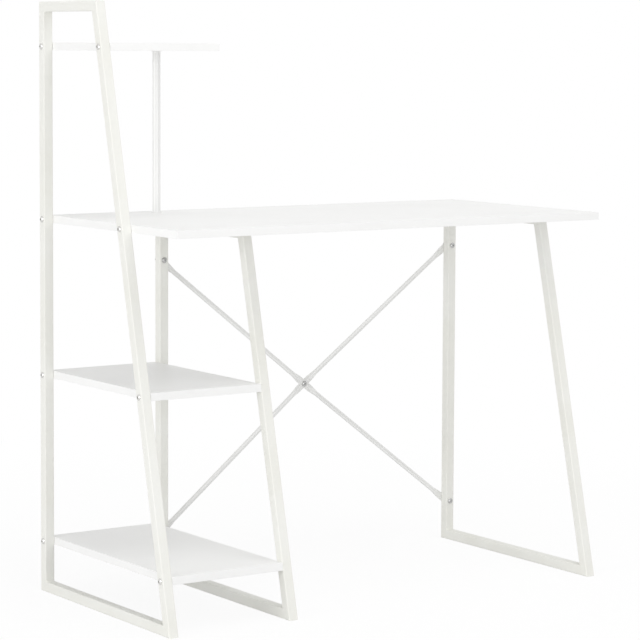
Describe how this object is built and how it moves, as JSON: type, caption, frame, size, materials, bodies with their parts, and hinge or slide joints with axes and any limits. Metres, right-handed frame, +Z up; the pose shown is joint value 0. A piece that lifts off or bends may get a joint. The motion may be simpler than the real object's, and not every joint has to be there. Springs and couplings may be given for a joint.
{
  "type": "desk with shelving unit",
  "caption": "White desk on leaning square-tube frames with a tall shelving end, a round shelf post and crossed rear braces.",
  "frame": {"origin": "middle of the footprint, on the floor", "axes": "+Z up, +X along the desk from the shelving end to the free end, +Y from the sitter's side to the back"},
  "size_m": [1.023, 0.5246, 1.17],
  "materials": {
    "powder_coated_frame": "fine satin powder coat, warm white",
    "powder_coated_tube": "fine satin powder coat, white",
    "white_board": "white melamine-faced particle board, satin",
    "white_edge_band": "white edge band, satin",
    "white_plastic": "moulded, satin",
    "zinc_fastener": "bright zinc plate"
  },
  "bodies": {
    "root": {"left_bottom_rail": "powder_coated_frame", "left_rear_leg": "powder_coated_frame", "left_top_rail": "powder_coated_frame", "left_front_leg": "powder_coated_frame", "middle_bottom_rail": "powder_coated_frame", "middle_rear_leg": "powder_coated_frame", "middle_top_rail": "powder_coated_frame", "middle_front_leg": "powder_coated_frame", "right_bottom_rail": "powder_coated_frame", "right_rear_leg": "powder_coated_frame", "right_top_rail": "powder_coated_frame", "right_front_leg": "powder_coated_frame", "desktop_board": "white_board", "desktop_edge_bands": "white_edge_band", "top_shelf_board": "white_board", "top_shelf_edge_bands": "white_edge_band", "middle_shelf_board": "white_board", "middle_shelf_edge_bands": "white_edge_band", "bottom_shelf_board": "white_board", "bottom_shelf_edge_bands": "white_edge_band", "shelf_post": "powder_coated_tube", "falling_brace": "powder_coated_tube", "rising_brace": "powder_coated_tube", "post_base_cap": "white_plastic", "post_top_cap": "white_plastic", "post_base_bolt": "zinc_fastener", "post_top_bolt": "zinc_fastener", "left_frame_bolts": "zinc_fastener", "middle_frame_bolts": "zinc_fastener", "barrel_nuts": "zinc_fastener", "desktop_screws": "zinc_fastener", "brace_end_bolts": "zinc_fastener", "brace_end_washers": "zinc_fastener", "brace_end_nuts": "zinc_fastener", "brace_centre_bolt": "zinc_fastener", "brace_centre_nut": "zinc_fastener"}
  },
  "joints": []
}
